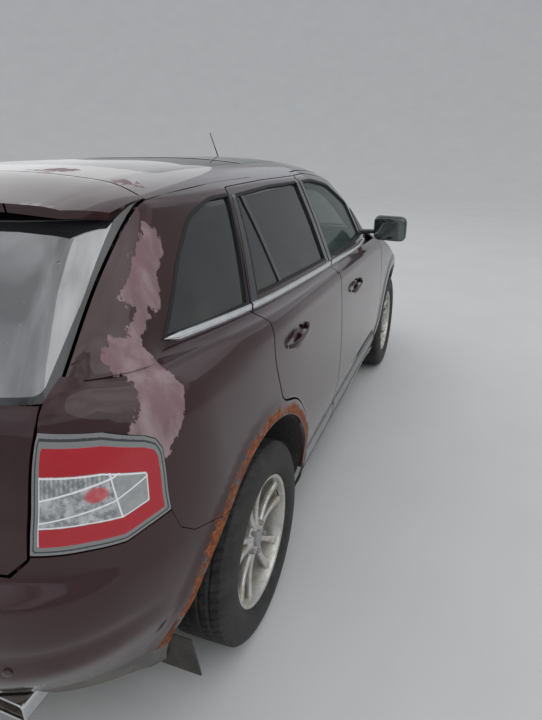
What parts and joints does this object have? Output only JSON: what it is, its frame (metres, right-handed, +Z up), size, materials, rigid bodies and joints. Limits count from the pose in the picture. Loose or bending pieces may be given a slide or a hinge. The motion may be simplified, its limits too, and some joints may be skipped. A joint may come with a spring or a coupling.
{
  "type": "crossover suv",
  "caption": "Family crossover SUV with hinged doors, tailgate and hood, steered front wheels, glazed cabin and hollow load space.",
  "frame": {"origin": "centre of the footprint on the ground, midway between the bumpers' ends", "axes": "+X towards the front, +Y towards the car's left side, +Z up"},
  "size_m": [4.716, 2.26, 1.824],
  "materials": {
    "body_paint": "dark maroon metallic clearcoat",
    "clear_glass": "clear",
    "tinted_glass": "dark tint",
    "lamp_red": "gloss",
    "lamp_clear": "clear",
    "black_plastic": "matte",
    "grey_plastic": "weathered matte",
    "floor_paint": "satin",
    "chassis_paint": "satin black",
    "cast_metal": "cast",
    "exhaust_steel": "dull",
    "knuckle_iron": "rough",
    "rim_alloy": "painted silver",
    "tyre": "dusty",
    "seat_fabric": "woven",
    "dash_plastic": "grained"
  },
  "bodies": {
    "body": {"body_side_right": "body_paint", "body_side_left": "body_paint", "fender_right": "body_paint", "fender_left": "body_paint", "quarter_glass": "tinted_glass", "tail_lamps": "lamp_red", "roof_panel": "body_paint", "roof_glass": "tinted_glass", "windshield": "clear_glass", "front_bumper": "body_paint", "grille": "black_plastic", "headlamps": "lamp_clear", "rear_bumper": "body_paint", "arch_liners": "grey_plastic", "floor_pan": "floor_paint", "front_seats": "seat_fabric", "rear_bench": "seat_fabric", "dashboard": "dash_plastic", "engine_block": "cast_metal", "fuel_tank": "black_plastic", "exhaust_system": "exhaust_steel", "front_frame": "chassis_paint", "rear_frame": "chassis_paint"},
    "door_front_right": {"door_front_right": "body_paint", "door_glass_front_right": "clear_glass"},
    "wheel_front_right": {"tyre_front_right": "tyre", "rim_front_right": "rim_alloy"},
    "door_rear_right": {"door_rear_right": "body_paint", "door_glass_rear_right": "tinted_glass"},
    "wheel_rear_right": {"tyre_rear_right": "tyre", "rim_rear_right": "rim_alloy"},
    "knuckle_right": {"knuckle_right": "knuckle_iron"},
    "door_front_left": {"door_front_left": "body_paint", "door_glass_front_left": "clear_glass"},
    "wheel_front_left": {"tyre_front_left": "tyre", "rim_front_left": "rim_alloy"},
    "door_rear_left": {"door_rear_left": "body_paint", "door_glass_rear_left": "tinted_glass"},
    "wheel_rear_left": {"tyre_rear_left": "tyre", "rim_rear_left": "rim_alloy"},
    "knuckle_left": {"knuckle_left": "knuckle_iron"},
    "tailgate": {"tailgate": "body_paint", "tailgate_glass": "tinted_glass"},
    "hood": {"hood": "body_paint"}
  },
  "joints": [
    {"name": "steer_left", "type": "hinge", "parent": "body", "child": "knuckle_left", "pos_m": [1.423, 0.7, 0.262], "axis": [0, -0.1379, 0.9904], "range_deg": [-34, 34]},
    {"name": "steer_right", "type": "hinge", "parent": "body", "child": "knuckle_right", "pos_m": [1.423, -0.7, 0.262], "axis": [0, 0.1379, 0.9904], "range_deg": [-34, 34]},
    {"name": "spin_front_left", "type": "hinge", "parent": "knuckle_left", "child": "wheel_front_left", "pos_m": [1.423, 0.827, 0.375], "axis": [0, 1, 0], "continuous": true},
    {"name": "spin_rear_left", "type": "hinge", "parent": "body", "child": "wheel_rear_left", "pos_m": [-1.401, 0.827, 0.375], "axis": [0, 1, 0], "continuous": true},
    {"name": "spin_front_right", "type": "hinge", "parent": "knuckle_right", "child": "wheel_front_right", "pos_m": [1.423, -0.827, 0.375], "axis": [0, 1, 0], "continuous": true},
    {"name": "spin_rear_right", "type": "hinge", "parent": "body", "child": "wheel_rear_right", "pos_m": [-1.401, -0.827, 0.375], "axis": [0, 1, 0], "continuous": true},
    {"name": "door_front_left_hinge", "type": "hinge", "parent": "body", "child": "door_front_left", "pos_m": [0.871, 0.946, 0.77], "axis": [0, 0, -1], "range_deg": [0, 65]},
    {"name": "door_front_right_hinge", "type": "hinge", "parent": "body", "child": "door_front_right", "pos_m": [0.871, -0.946, 0.77], "axis": [0, 0, 1], "range_deg": [0, 65]},
    {"name": "door_rear_left_hinge", "type": "hinge", "parent": "body", "child": "door_rear_left", "pos_m": [-0.353, 0.943, 0.77], "axis": [0, 0, -1], "range_deg": [0, 68]},
    {"name": "door_rear_right_hinge", "type": "hinge", "parent": "body", "child": "door_rear_right", "pos_m": [-0.353, -0.943, 0.77], "axis": [0, 0, 1], "range_deg": [0, 68]},
    {"name": "tailgate_hinge", "type": "hinge", "parent": "body", "child": "tailgate", "pos_m": [-1.583, 0, 1.676], "axis": [0, 1, 0], "range_deg": [0, 80]},
    {"name": "hood_hinge", "type": "hinge", "parent": "body", "child": "hood", "pos_m": [1.409, 0, 1.111], "axis": [0, -1, 0], "range_deg": [0, 50]}
  ],
  "couplings": [
    {"joint": "steer_right", "follows": "steer_left", "ratio": 1}
  ]
}
